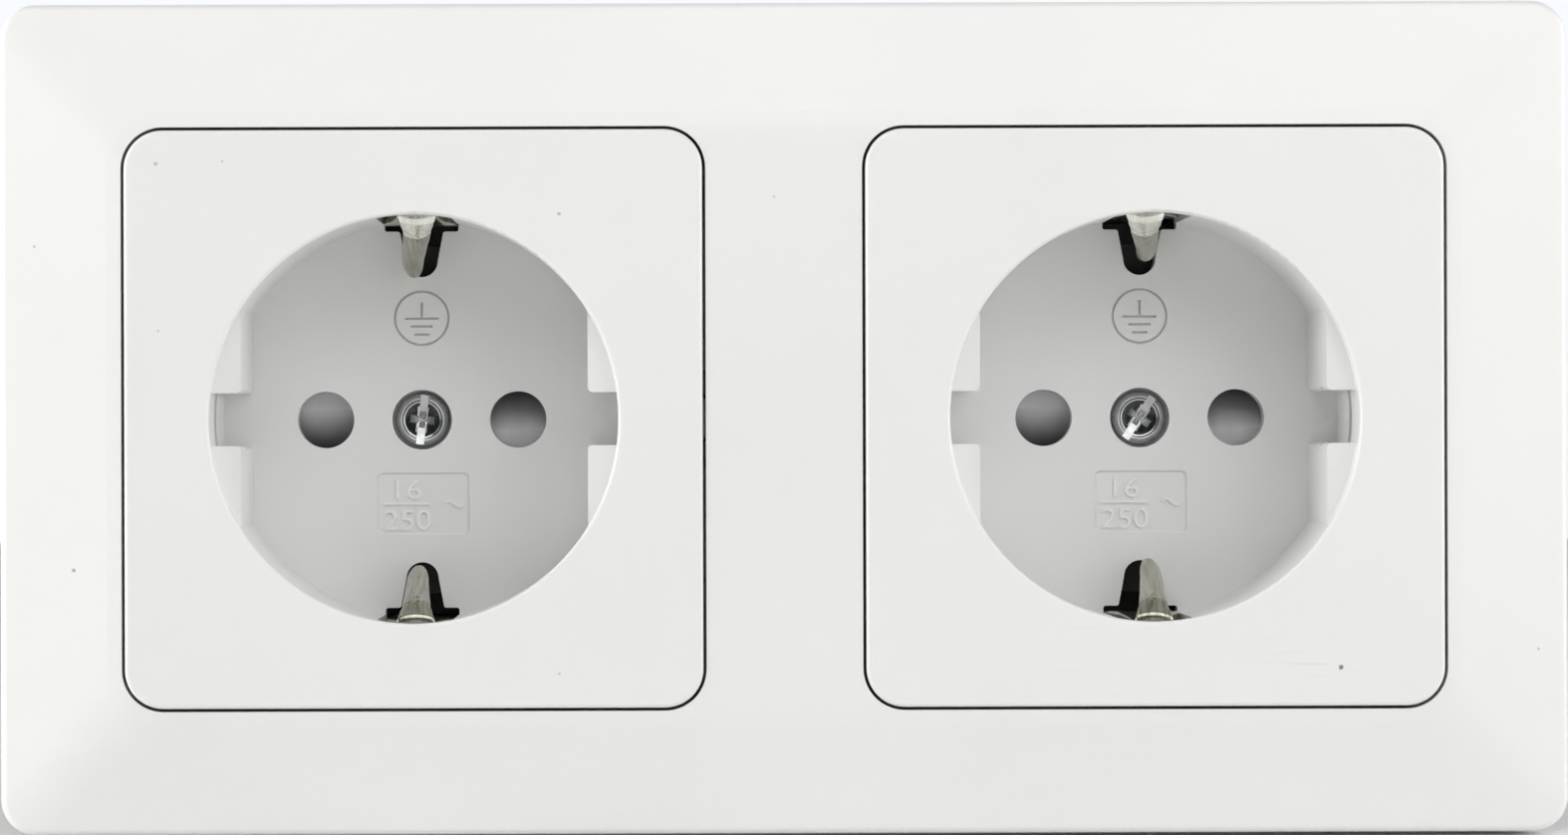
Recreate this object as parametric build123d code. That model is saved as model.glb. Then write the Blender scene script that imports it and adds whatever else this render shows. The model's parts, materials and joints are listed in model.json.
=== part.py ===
from build123d import *
import os
from math import cos, degrees, radians, sin

# Double earthed socket outlet for two wall boxes at the usual spacing.
# X runs along the pair, Z is up and Y runs into the wall, whose face is Y = 0.
# Sizes are in millimetres. Depths along Y are negative in front of the wall.

# Plug pattern: round recess, pins, side guides and earth slots
recess_diameter = 39.2
recess_depth = 17.5
pin_offset = 9.5
pin_radius = 2.4
pin_length = 19.0
pin_hole_radius = 2.8
guide_half_width = 16.65
guide_drop = 2.0
guide_notch = 5.1
guide_corner = 0.5
slot_shoulder_width = 7.3
slot_shoulder_height = 1.0
slot_reach = 5.5
slot_mouth_width = 4.3
slot_end_radius = 1.6
slot_corner = 0.25

# Clearances: pieces that stay put, pieces that move, the line round a cover
seat_gap = 0.1
run_gap = 0.3
cover_line = 0.3

# Cover frame
cover_margin = 8.4
frame_band = 12.0
frame_bar = 15.0
frame_corner = 3.4
frame_edge = 6.5
frame_rise = 3.0
frame_skin = 2.0
frame_edge_round = 0.8
frame_crest_round = 12.0
opening_corner = 4.0
opening_wall = 1.6
lip_reach = 1.5
lip_thickness = 1.2
rib_thickness = 1.2
rib_pitch = 14.0
claw_window = 9.4

# Covers
cover_proud = 0.2
cover_thickness = 2.2
cover_edge_round = 0.4
recess_edge_round = 0.4
skirt_wall = 1.6
pot_wall = 1.7
floor_thickness = 2.5
boss_radius = 3.6
boss_wall = 0.65
head_sink = 0.5
post_radius = 1.4
post_ring = 15.6

# Screws: one through each cover, claw screws, terminal screws
screw_radius = 1.5
cover_head_radius = 2.7
cover_head_height = 1.7
cover_screw_grip = 7.0
claw_head_radius = 2.6
claw_head_height = 1.9
claw_screw_length = 17.0
terminal_screw_radius = 1.75
terminal_head_radius = 3.1
terminal_head_height = 2.2
terminal_screw_length = 9.0
drive_slot = 0.9
drive_depth = 1.0

# Shutter, its spring and its cap
shutter_half_angle = 19.5
shutter_radius = 13.0
shutter_ring_wall = 1.4
shutter_ring_depth = 2.2
shutter_depth = 4.0
shutter_flat = 1.0
shutter_blade = 0.9
spring_strip = 0.4
spring_width = 0.9
spring_leg = 8.6
spring_anchor_angle = -75.0
cap_radius = 17.4
cap_thickness = 1.2
cap_peg_radius = 0.8

# Support plate
plate_thickness = 1.2
plate_corner = 6.0
plate_joint = 1.4
plate_rim_gap = 3.2
box_screw_spacing = 60.0
box_slot_width = 3.6
box_slot_length = 10.0
hook_notch_width = 8.0
hook_notch_depth = 1.4

# Socket base
cup_wall = 1.5
flange_thickness = 1.3
flange_gap = 0.6
peg_radius = 1.1
deck_thickness = 2.0
bush_radius = 2.6
bush_length = 7.5
barrier_thickness = 1.2
barrier_height = 4.6
barrier_offset = 5.4
barrier_length = 30.0
rear_wall_span = 20.0
tip_gap = 0.3

# Brass contacts and terminals
contact_strip = 0.7
contact_width = 6.0
contact_throat = 2.2
contact_root = 3.2
contact_mouth = 3.4
terminal_margin = 1.4
earth_terminal_drop = 11.0
clamp_size = 7.4
clamp_thickness = 1.2
tab_margin = 3.6

# Earth bracket with its two spring tongues
earth_strip = 0.7
earth_width = 7.0
earth_fold_width = 4.0
earth_fold_drop = 1.6
earth_fold_radius = 0.75
earth_neck_length = 3.5
earth_foot_length = 4.8
tongue_width = 2.6
tongue_tip_width = 2.1
tongue_tip_lift = 2.6
tongue_return = 1.1
bracket_bend = 1.4

# Claws that grip the wall box
claw_thickness = 1.2
claw_height = 8.4
claw_level = 9.0
claw_length = 13.4
claw_toe = 1.0
claw_toe_length = 3.8
claw_fork = 4.4
claw_heel = 0.8
claw_swing = 18.0
claw_screw_offset = 2.4
ledge_reach = 1.1
ledge_depth = 2.3

# Turn of each cover screw's slot from upright, as it was left tightened
cover_screw_turn = {"left": 6.0, "right": 34.0}

# Reach of each earth tongue from the socket centre, as they stand bent
tongue_reach = {
    "left": {1: 13.9, -1: 14.3},
    "right": {1: 15.3, -1: 13.8},
}

# Outlines that follow from the sizes above
recess_radius = recess_diameter / 2
opening = recess_diameter + 2 * cover_margin
gang_pitch = opening + frame_bar
frame_height = opening + 2 * frame_band
frame_width = frame_height + gang_pitch
cover_size = opening - 2 * cover_line
cover_corner = opening_corner - cover_line
pot_outer = recess_radius + pot_wall
cup_inner = pot_outer + run_gap
cup_outer = cup_inner + cup_wall
plate_hole_radius = cup_outer + seat_gap
plate_width = gang_pitch - plate_joint
plate_height = frame_height - 2 * frame_skin - 2 * plate_rim_gap
flange_radius = opening / 2 - lip_reach - flange_gap
peg_ring = (plate_hole_radius + flange_radius) / 2
head_hole_radius = boss_radius - boss_wall
screw_hole_radius = screw_radius + seat_gap
ring_inner = boss_radius + run_gap
ring_outer = ring_inner + shutter_ring_wall
spring_radius = boss_radius + run_gap + spring_strip / 2
pivot_x = cup_outer + ledge_reach
claw_screw_x = pivot_x + claw_screw_offset
leg_inner = recess_radius
leg_outer = leg_inner + earth_strip
groove_outer = leg_outer + 2 * seat_gap
terminal_offset = cup_inner - terminal_margin - clamp_size / 2

# Depths that follow from the sizes above
frame_face = frame_edge + frame_rise
plate_front = -plate_thickness
lip_back = plate_front - seat_gap
lip_front = lip_back - lip_thickness
skirt_back = lip_front - seat_gap
cover_front = -frame_face - cover_proud
floor_front = cover_front + recess_depth
floor_back = floor_front + floor_thickness
head_front = floor_front + head_sink
head_seat = head_front + cover_head_height
shutter_front = floor_back + run_gap
ring_back = shutter_front + shutter_ring_depth
shutter_back = shutter_front + shutter_depth
cap_front = shutter_back + run_gap
cap_back = cap_front + cap_thickness
deck_front = cap_back + seat_gap
pocket_front = deck_front + deck_thickness
deck_back = floor_front + pin_length + tip_gap
flange_front = plate_front - flange_thickness
tab_back = deck_back + contact_strip
clamp_back = tab_back + clamp_thickness
fold_front = cover_front + earth_fold_drop
head_clear = claw_head_height + run_gap


def prism(sketch, front, back):
    return extrude(Plane.XZ.offset(-back) * sketch, back - front, dir=(0, -1, 0))


def square(size, corner):
    return RectangleRounded(size, size, corner)


def side_strip(path, thickness, width):
    return extrude(Plane.YZ * trace(path, thickness), width / 2, both=True)


# Front outline of one floor slot: a shoulder at the wall and a rounded tongue well
def earth_slot_outline():
    shoulder = slot_shoulder_width / 2
    step = recess_radius - slot_shoulder_height
    end = recess_radius - slot_reach
    arc_start = end + slot_end_radius
    right = Polyline(
        (-shoulder, groove_outer),
        (shoulder, groove_outer),
        (shoulder, step),
        (slot_mouth_width / 2, step),
        (slot_end_radius, arc_start),
    )
    tip = ThreePointArc((slot_end_radius, arc_start), (0, end), (-slot_end_radius, arc_start))
    left = Polyline(
        (-slot_end_radius, arc_start),
        (-slot_mouth_width / 2, step),
        (-shoulder, step),
        (-shoulder, groove_outer),
    )
    outline = make_face(right + tip + left)
    corners = outline.vertices().filter_by(lambda v: abs(v.Y - step) < 0.01)
    return fillet(corners, slot_corner)


# Side guides in front outline: wall segments with a notch and softened corners
def guide_outline():
    ring = Circle(recess_radius + pot_wall / 2)
    blocks = ring - Rectangle(2 * guide_half_width, 3 * recess_radius)
    blocks -= Rectangle(3 * recess_radius, guide_notch)
    inner = blocks.vertices().filter_by(lambda v: abs(abs(v.X) - guide_half_width) < 0.01)
    corners = inner.filter_by(lambda v: abs(abs(v.Y) - guide_notch / 2) < 0.01)
    return fillet(corners, guide_corner)


def make_frame():
    outer = RectangleRounded(frame_width, frame_height, frame_corner)
    crest = RectangleRounded(gang_pitch + opening, opening, opening_corner)
    base = prism(outer, -frame_edge, 0)
    slope = loft([Plane.XZ.offset(frame_edge) * outer, Plane.XZ.offset(frame_face) * crest], ruled=True)
    body = base + slope
    rim = body.edges().filter_by(lambda e: abs(e.center().Y + frame_edge) < 0.01)
    body = fillet(rim, frame_edge_round)
    top = body.edges().filter_by(lambda e: abs(e.center().Y + frame_face) < 0.01)
    body = fillet(top, frame_crest_round)

    # The back is hollow under a skin of even thickness
    hollow_width = frame_width - 2 * frame_skin
    hollow_height = frame_height - 2 * frame_skin
    hollow_outline = RectangleRounded(hollow_width, hollow_height, frame_corner - frame_skin)
    hollow = prism(hollow_outline, frame_skin - frame_edge, 0)
    hollow += loft(
        [
            Plane.XZ.offset(frame_edge - frame_skin) * hollow_outline,
            Plane.XZ.offset(frame_face - frame_skin) * crest,
        ],
        ruled=True,
    )
    body -= hollow

    # Ribs brace the skin against the walls of the openings
    rib_count = int(opening / rib_pitch)
    ribs = Rectangle(frame_bar, rib_thickness)
    for side in (-1, 1):
        for step in range(rib_count + 1):
            x = side * gang_pitch / 2 + (step - rib_count / 2) * opening / rib_count
            ribs += Pos(x, 0) * Rectangle(rib_thickness, frame_height)
        for z in (-opening / 4, opening / 4):
            end = side * (frame_width - frame_band) / 2
            ribs += Pos(end, z) * Rectangle(frame_band, rib_thickness)
    body += hollow & prism(ribs, -frame_face, lip_back)

    # Each opening has a wall, and a lip that the cover's skirt stands on
    for side in (-1, 1):
        place = Pos(side * gang_pitch / 2, 0, 0)
        inside = square(opening, opening_corner)
        wall = square(opening + 2 * opening_wall, opening_corner + opening_wall)
        throat = square(opening - 2 * lip_reach, opening_corner - lip_reach)
        body += place * prism(wall, frame_skin / 2 - frame_face, lip_back)
        body -= place * prism(inside, -2 * frame_face, lip_front)
        body -= place * prism(throat, -2 * frame_face, 0)
        window = Box(2 * (claw_screw_x + claw_head_radius + run_gap), head_clear + seat_gap, claw_window)
        body -= place * Pos(0, plate_front - (head_clear + seat_gap) / 2, 0) * window
    return body


def make_cover():
    outline = square(cover_size, cover_corner)
    hollow = square(cover_size - 2 * skirt_wall, cover_corner - skirt_wall)
    body = prism(outline, cover_front, skirt_back)
    edge = body.edges().filter_by(lambda e: abs(e.center().Y - cover_front) < 0.01)
    body = fillet(edge, cover_edge_round)
    body -= prism(hollow, cover_front + cover_thickness, skirt_back)

    # Deep pot with its floor, then the recess with a softened mouth
    body += prism(Circle(pot_outer), cover_front + cover_thickness, floor_back)
    body -= prism(Circle(recess_radius), cover_front, floor_front)
    mouth = body.edges().filter_by(lambda e: abs(e.center().Y - cover_front) < 0.01)
    mouth = mouth.filter_by(GeomType.CIRCLE).filter_by(lambda e: abs(e.radius - recess_radius) < 0.01)
    body = fillet(mouth, recess_edge_round)
    body += prism(guide_outline(), cover_front + guide_drop, floor_front)

    # Hollow boss for the cover screw; the shutter turns on its outside
    body += prism(Circle(boss_radius), floor_back, cap_front)
    body -= prism(Circle(head_hole_radius), floor_front, head_seat)
    body -= prism(Circle(screw_hole_radius), head_seat, cap_front)
    for x in (-pin_offset, pin_offset):
        body -= prism(Pos(x, 0) * Circle(pin_hole_radius), floor_front, floor_back)

    # Slots and wall grooves for the earth bracket's legs
    groove = Rectangle(slot_shoulder_width, groove_outer)
    groove = Pos(0, groove_outer / 2) * groove - Circle(recess_radius - seat_gap)
    for turn in (0, 180):
        body -= prism(Rot(0, 0, turn) * earth_slot_outline(), floor_front, floor_back)
        body -= prism(Rot(0, 0, turn) * groove, fold_front - run_gap, floor_back)

    # Posts that carry the shutter's cap
    for angle in (45, 135, 225, 315):
        spot = Pos(post_ring * cos(radians(angle)), post_ring * sin(radians(angle)))
        body += prism(spot * Circle(post_radius), floor_back, cap_front)

    # The skirt clears the claw screws' heads
    clear = Box(2 * cover_size, head_clear, 2 * (claw_head_radius + run_gap))
    body -= Pos(0, plate_front - head_clear / 2, 0) * clear
    return body


def make_cover_screw():
    body = prism(Circle(cover_head_radius), head_front, head_seat)
    rim = body.edges().filter_by(lambda e: abs(e.center().Y - head_front) < 0.01)
    body = chamfer(rim, cover_head_height / 3)
    body += prism(Circle(screw_radius), head_seat, deck_front + cover_screw_grip)
    cross = Rectangle(drive_slot, 1.7 * cover_head_radius)
    cross += Rectangle(1.3 * cover_head_radius, drive_slot)
    return body - prism(cross, head_front, head_front + drive_depth)


# One turning piece closes both pin holes; its ramps face opposite ways
def make_shutter():
    angle = radians(shutter_half_angle)
    blade = Polygon(
        (ring_inner + shutter_ring_wall / 2, 0),
        (shutter_radius * cos(angle), -shutter_radius * sin(angle)),
        (shutter_radius * cos(angle), shutter_radius * sin(angle)),
        align=None,
    )
    blade += Polygon(
        (ring_outer * cos(angle), -ring_outer * sin(angle)),
        (shutter_radius * cos(angle), -shutter_radius * sin(angle)),
        (shutter_radius, 0),
        (shutter_radius * cos(angle), shutter_radius * sin(angle)),
        (ring_outer * cos(angle), ring_outer * sin(angle)),
        align=None,
    )
    blade -= Circle(ring_inner + shutter_ring_wall / 2)
    right = prism(blade, shutter_front, shutter_back)
    height = shutter_radius * sin(angle) + run_gap
    ramp = Polygon(
        (shutter_front, -shutter_flat),
        (shutter_back - shutter_blade, height),
        (shutter_front, height),
        align=None,
    )
    right -= extrude(Plane.YZ * ramp, 2 * shutter_radius, both=True)
    ring = prism(Circle(ring_outer) - Circle(ring_inner), shutter_front, ring_back)
    return ring + right + Rot(0, 180, 0) * right


# Where the spring's two legs leave the ring, seen from the front
def spring_angles():
    clear = (spring_strip / 2 + run_gap) / ring_outer
    moving = -shutter_half_angle - degrees(clear)
    return moving, spring_anchor_angle


# Bent strip round the boss with one leg on the shutter and one on the cap's peg
def make_spring():
    moving, fixed = spring_angles()
    level = ring_back + run_gap
    start = Vector(spring_leg, 0, 0).rotate(Axis.Z, moving)
    near = Vector(spring_radius, 0, 0).rotate(Axis.Z, moving)
    far = Vector(spring_radius, 0, 0).rotate(Axis.Z, fixed)
    finish = Vector(spring_leg, 0, 0).rotate(Axis.Z, fixed)
    middle = Vector(spring_radius, 0, 0).rotate(Axis.Z, (moving + fixed) / 2 + 180)
    path = Line(start, near) + ThreePointArc(near, middle, far) + Line(far, finish)
    return prism(trace(path, spring_strip), level, level + spring_width)


def make_cap():
    outline = Circle(cap_radius) - Circle(screw_hole_radius + run_gap)
    for x in (-pin_offset, pin_offset):
        outline -= Pos(x, 0) * Circle(pin_hole_radius)
    body = prism(outline, cap_front, cap_back)

    # A peg takes the spring's fixed leg
    moving, fixed = spring_angles()
    reach = spring_leg - 2 * cap_peg_radius
    lean = degrees((cap_peg_radius + spring_strip / 2 + seat_gap) / reach)
    spot = Rot(0, 0, fixed - lean) * Pos(reach, 0)
    return body + prism(spot * Circle(cap_peg_radius), ring_back + run_gap, cap_front)


def make_base():
    body = prism(Circle(cup_outer), flange_front, deck_back)
    flange = Circle(flange_radius) & Rectangle(2 * cup_outer, 2 * flange_radius)
    body += prism(flange, flange_front, plate_front)
    body -= prism(Circle(cup_inner), flange_front, deck_front)

    # Pegs through the support plate, spread flush at the back
    for angle in (45, 135, 225, 315):
        spot = Pos(peg_ring * cos(radians(angle)), peg_ring * sin(radians(angle)))
        body += prism(spot * Circle(peg_radius), plate_front, 0)

    # Pockets and pin holes for the contacts, wells for the terminal screws
    pocket_height = 2 * (contact_mouth + contact_strip / 2 + run_gap)
    for side in (-1, 1):
        pocket = Pos(side * pin_offset, 0) * Rectangle(contact_width + 2 * run_gap, pocket_height)
        body -= prism(pocket, pocket_front, deck_back)
        body -= prism(Pos(side * pin_offset, 0) * Circle(pin_hole_radius), deck_front, pocket_front)
        well = Pos(side * terminal_offset, 0) * Circle(terminal_screw_radius + seat_gap)
        body -= prism(well, clamp_back - terminal_screw_length, deck_back)
        slot_height = earth_strip + 2 * seat_gap
        slot = Pos(0, side * (leg_inner + leg_outer) / 2)
        slot *= Rectangle(earth_width + 2 * seat_gap, slot_height)
        body -= prism(slot, deck_front, deck_back)
    earth_well = Pos(0, -earth_terminal_drop) * Circle(terminal_screw_radius + seat_gap)
    body -= prism(earth_well, clamp_back - terminal_screw_length, deck_back)
    body -= prism(Circle(bush_radius), deck_front, deck_front + bush_length)

    # Barriers between the terminals and a guard wall at each side
    for side in (-1, 1):
        barrier = Pos(side * barrier_offset, 0) * Rectangle(barrier_thickness, barrier_length)
        body += prism(barrier, deck_back, deck_back + barrier_height)
    guard = Circle(cup_outer) - Circle(cup_outer - cup_wall)
    guard &= Rectangle(3 * cup_outer, rear_wall_span)
    body += prism(guard, deck_back, deck_back + barrier_height)

    # Ledges that the claws rock on
    ledge = Rectangle(2 * pivot_x, claw_height) - Circle(cup_inner)
    body += prism(ledge, claw_level - seat_gap - ledge_depth, claw_level - seat_gap)
    return body


def make_bush():
    tube = Circle(bush_radius) - Circle(screw_hole_radius)
    return prism(tube, deck_front, deck_front + bush_length)


def make_plate():
    outline = RectangleRounded(plate_width, plate_height, plate_corner) - Circle(plate_hole_radius)
    for angle in (45, 135, 225, 315):
        spot = Pos(peg_ring * cos(radians(angle)), peg_ring * sin(radians(angle)))
        outline -= spot * Circle(peg_radius)
    for side in (-1, 1):
        outline -= Pos(side * claw_screw_x, 0) * Circle(screw_radius + run_gap)
        outline -= Pos(0, side * box_screw_spacing / 2) * SlotOverall(box_slot_length, box_slot_width)
        outline -= Pos(side * plate_width / 2, 0) * Rectangle(2 * hook_notch_depth, hook_notch_width)
    return prism(outline, plate_front, 0)


def make_contact():
    depth = deck_back + contact_strip / 2
    throat = contact_throat + contact_strip / 2
    half = [
        (pocket_front + run_gap, contact_mouth),
        (pocket_front + 0.3 * (depth - pocket_front), throat),
        (depth - 0.2 * (depth - pocket_front), contact_root),
        (depth, contact_root),
    ]
    points = half + [(y, -z) for y, z in reversed(half)]
    clip = side_strip(FilletPolyline(*points, radius=contact_strip), contact_strip, contact_width)
    body = Pos(pin_offset, 0, 0) * clip
    tab_start = pin_offset - contact_width / 2
    tab_end = terminal_offset + tab_margin
    tab = Pos((tab_start + tab_end) / 2, 0) * Rectangle(tab_end - tab_start, 2 * contact_root)
    tab -= Pos(terminal_offset, 0) * Circle(terminal_screw_radius + seat_gap)
    return body + prism(tab, deck_back, tab_back)


# One strip: web across the back, legs through the floor, folded spring tongues
def make_earth_bracket(reach):
    leg_middle = (leg_inner + leg_outer) / 2
    turn_level = fold_front + earth_strip / 2 + earth_fold_radius
    outer = Rectangle(tab_back - turn_level, 2 * leg_outer)
    inner = Rectangle(tab_back - turn_level, 2 * leg_inner)
    staple = Pos((tab_back + turn_level) / 2, 0) * outer
    staple -= Pos((tab_back + turn_level) / 2 - contact_strip, 0) * inner
    bends = staple.vertices().filter_by(lambda v: abs(v.X - tab_back) < 0.01)
    staple = fillet(bends, bracket_bend)
    body = extrude(Plane.YZ * staple, earth_width / 2, both=True)
    body -= prism(
        Pos(0, -earth_terminal_drop) * Circle(terminal_screw_radius + seat_gap), deck_back, tab_back
    )

    # Each leg flares in an arc from the narrow neck at its fold to its full width
    neck = earth_fold_width / 2
    flare_start = (neck, turn_level + earth_neck_length)
    flare_end = (earth_width / 2, floor_front - earth_foot_length)
    flare = Line((neck, turn_level), flare_start)
    flare += TangentArc(flare_start, flare_end, tangent=(0, 1))
    flare += Polyline(flare_end, (earth_width, flare_end[1]), (earth_width, turn_level), (neck, turn_level))
    shoulder = make_face(flare)
    body -= extrude(shoulder, 2 * leg_outer, both=True)
    body -= extrude(mirror(shoulder, Plane.YZ), 2 * leg_outer, both=True)

    # Tongue: over the fold, slanting in to its tip and back into the floor slot
    for side in (-1, 1):
        tip = reach[side] + earth_strip / 2
        tip_level = floor_front - tongue_tip_lift
        turned = leg_middle - 2 * earth_fold_radius
        fold = ThreePointArc(
            (turn_level, leg_middle),
            (turn_level - earth_fold_radius, leg_middle - earth_fold_radius),
            (turn_level, turned),
        )
        run = FilletPolyline(
            (turn_level, turned),
            (turn_level + earth_fold_drop, turned),
            (tip_level, tip),
            (floor_front + tongue_return, tip + tongue_return),
            radius=tongue_return,
        )
        strip = side_strip(fold + run, earth_strip, earth_width)
        nose = tongue_tip_width / 2
        root = (tongue_width / 2, turned)
        right = Line((nose, reach[side] + nose), root)
        right += TangentArc(root, (neck, leg_inner), tangent=(0, 1))
        right += Polyline((neck, leg_inner), (neck, leg_outer), (0, leg_outer))
        right += ThreePointArc(
            (nose, reach[side] + nose),
            (nose * sin(radians(45)), reach[side] + nose - nose * cos(radians(45))),
            (0, reach[side]),
        )
        half = make_face(right + Line((0, leg_outer), (0, reach[side])))
        outline = half + mirror(half, Plane.YZ)
        tongue = strip & prism(outline, fold_front, deck_front)
        body += tongue if side == 1 else mirror(tongue, Plane.XY)
    return body


def make_terminal_screw():
    head_back = clamp_back + terminal_head_height
    body = prism(Circle(terminal_head_radius), clamp_back, head_back)
    shank = Circle(terminal_screw_radius)
    body += prism(shank, clamp_back - terminal_screw_length + run_gap, clamp_back)
    slot = Rectangle(3 * terminal_head_radius, drive_slot)
    return body - prism(slot, head_back - drive_depth, head_back)


def make_clamp():
    plate = Rectangle(clamp_size, clamp_size) - Circle(terminal_screw_radius + seat_gap)
    return prism(plate, tab_back, clamp_back)


# Two-pronged claw that rocks outward over its ledge as the screw draws it forward
def make_claw():
    heel = pivot_x - claw_heel
    knee = claw_screw_x + screw_radius + run_gap + claw_thickness
    back = claw_level + claw_thickness
    end = claw_level + claw_length
    foot = end - claw_toe_length
    profile = Polygon(
        (heel, claw_level),
        (knee, claw_level),
        (knee - claw_toe / 2, foot),
        (knee + claw_toe / 2, end),
        (knee - claw_toe, end - claw_thickness),
        (knee - claw_toe / 2 - claw_thickness, foot),
        (knee - claw_thickness, back),
        (heel, back),
        align=None,
    )
    body = extrude(profile, claw_height / 2, both=True)
    fork = Pos(knee, (back + end) / 2, 0) * Box(4 * claw_thickness, end - back, claw_fork)
    body -= fork
    sweep_room = claw_thickness * sin(radians(claw_swing))
    eye_start = claw_screw_x - screw_radius - run_gap - sweep_room / 2
    eye_end = knee - claw_thickness / 3
    eye = Box(eye_end - eye_start, claw_thickness, 2 * (screw_radius + run_gap / 2))
    return body - Pos((eye_start + eye_end) / 2, claw_level + claw_thickness / 2, 0) * eye


def make_claw_screw():
    seat = plate_front - seat_gap / 2
    body = prism(Circle(claw_head_radius), seat - claw_head_height, seat)
    body += prism(Circle(screw_radius), seat, seat + claw_screw_length)
    slot = Rectangle(drive_slot, 3 * claw_head_radius)
    return body - prism(slot, seat - claw_head_height, seat - claw_head_height + drive_depth)


os.makedirs("parts", exist_ok=True)
export_step(make_frame(), "parts/cover_frame.step")

cover = make_cover()
shutter = make_shutter()
spring = make_spring()
cap = make_cap()
base = make_base()
plate = make_plate()
contact = make_contact()
claw = make_claw()
claw_screw = Pos(claw_screw_x, 0, 0) * make_claw_screw()
cover_screw = make_cover_screw()
bush = make_bush()
terminal_screw = make_terminal_screw()
clamp = make_clamp()
terminals = ((-terminal_offset, 0), (terminal_offset, 0), (0, -earth_terminal_drop))

cover_screws = []
bushes = []
terminal_screws = []
clamps = []
for gang, side in (("left", -1), ("right", 1)):
    place = Pos(side * gang_pitch / 2, 0, 0)
    export_step(place * cover, f"parts/cover_{gang}.step")
    export_step(place * shutter, f"parts/shutter_{gang}.step")
    export_step(place * spring, f"parts/shutter_spring_{gang}.step")
    export_step(place * cap, f"parts/shutter_cap_{gang}.step")
    export_step(place * base, f"parts/socket_base_{gang}.step")
    export_step(place * plate, f"parts/support_plate_{gang}.step")
    export_step(place * make_earth_bracket(tongue_reach[gang]), f"parts/earth_bracket_{gang}.step")
    export_step(place * contact, f"parts/neutral_contact_{gang}.step")
    export_step(place * mirror(contact, Plane.YZ), f"parts/live_contact_{gang}.step")
    for end, mirrored in (("a", True), ("b", False)):
        claw_here = mirror(claw, Plane.YZ) if mirrored else claw
        screw_here = mirror(claw_screw, Plane.YZ) if mirrored else claw_screw
        export_step(place * claw_here, f"parts/claw_{gang}_{end}.step")
        export_step(place * screw_here, f"parts/claw_screw_{gang}_{end}.step")
    cover_screws.append(place * Rot(0, cover_screw_turn[gang], 0) * cover_screw)
    bushes.append(place * bush)
    for x, z in terminals:
        terminal_screws.append(place * Pos(x, 0, z) * terminal_screw)
        clamps.append(place * Pos(x, 0, z) * clamp)

export_step(Compound(children=cover_screws), "parts/cover_screws.step")
export_step(Compound(children=bushes), "parts/threaded_bushes.step")
export_step(Compound(children=terminal_screws), "parts/terminal_screws.step")
export_step(Compound(children=clamps), "parts/wire_clamps.step")
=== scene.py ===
import json
import math

import bmesh
import bpy
from mathutils import Matrix, Vector, noise


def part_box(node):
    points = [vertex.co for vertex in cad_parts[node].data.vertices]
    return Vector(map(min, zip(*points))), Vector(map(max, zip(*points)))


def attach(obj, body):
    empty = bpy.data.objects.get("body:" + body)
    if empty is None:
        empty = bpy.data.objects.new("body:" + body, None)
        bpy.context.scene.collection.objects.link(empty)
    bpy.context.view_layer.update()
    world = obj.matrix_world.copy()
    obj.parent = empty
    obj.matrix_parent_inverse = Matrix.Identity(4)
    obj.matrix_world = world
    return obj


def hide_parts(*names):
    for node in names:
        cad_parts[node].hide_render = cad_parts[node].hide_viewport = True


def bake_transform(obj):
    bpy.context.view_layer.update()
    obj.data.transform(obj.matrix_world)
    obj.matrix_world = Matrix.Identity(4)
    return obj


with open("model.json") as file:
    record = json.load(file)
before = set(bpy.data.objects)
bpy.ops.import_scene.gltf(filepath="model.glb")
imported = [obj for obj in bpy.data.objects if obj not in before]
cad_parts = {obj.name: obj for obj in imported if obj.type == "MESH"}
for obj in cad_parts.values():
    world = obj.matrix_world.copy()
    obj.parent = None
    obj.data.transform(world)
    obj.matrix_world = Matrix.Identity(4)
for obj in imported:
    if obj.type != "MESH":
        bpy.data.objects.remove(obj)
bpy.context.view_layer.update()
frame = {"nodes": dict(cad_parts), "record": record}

nodes = frame["nodes"]
scene = bpy.context.scene
mm = 0.001
weld = 1e-6  # corners closer than this, in metres, are one
roundSteps = 32  # sides of a turned piece
mixFirst, mixSecond, mixed = 6, 7, 2  # colour sockets of a Mix node, in and out
noiseSpan = (0.3, 0.7)  # where nearly all values of a noise texture lie


def middle(node):  # centre of a node's box, in mm
    low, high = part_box(node)
    return (low + high) / 2 / mm


gangs = {side: middle("cover_" + side).x for side in ("left", "right")}  # socket centres along X, in mm


def toLinear(hexColour):
    parts = [int(hexColour[i:i + 2], 16) / 255 for i in (1, 3, 5)]
    return [c / 12.92 if c <= 0.04045 else ((c + 0.055) / 1.055) ** 2.4 for c in parts] + [1.0]


def addNode(tree, kind, values=None, links=None, **settings):
    node = tree.nodes.new(kind)
    for name, value in settings.items():
        setattr(node, name, value)
    for name, value in (values or {}).items():
        node.inputs[name].default_value = value
    for name, source in (links or {}).items():
        tree.links.new(source, node.inputs[name])
    return node


def perMetre(sizeMm):  # texture scale for a pattern of that size
    return 1000.0 / sizeMm


def startMaterial(name):
    material = bpy.data.materials.new(name)
    material.use_nodes = True
    tree = material.node_tree
    tree.nodes.clear()
    shader = addNode(tree, "ShaderNodeBsdfPrincipled")
    addNode(tree, "ShaderNodeOutputMaterial", links={"Surface": shader.outputs["BSDF"]})
    place = addNode(tree, "ShaderNodeTexCoord").outputs["Object"]
    return material, tree, shader, place


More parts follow.
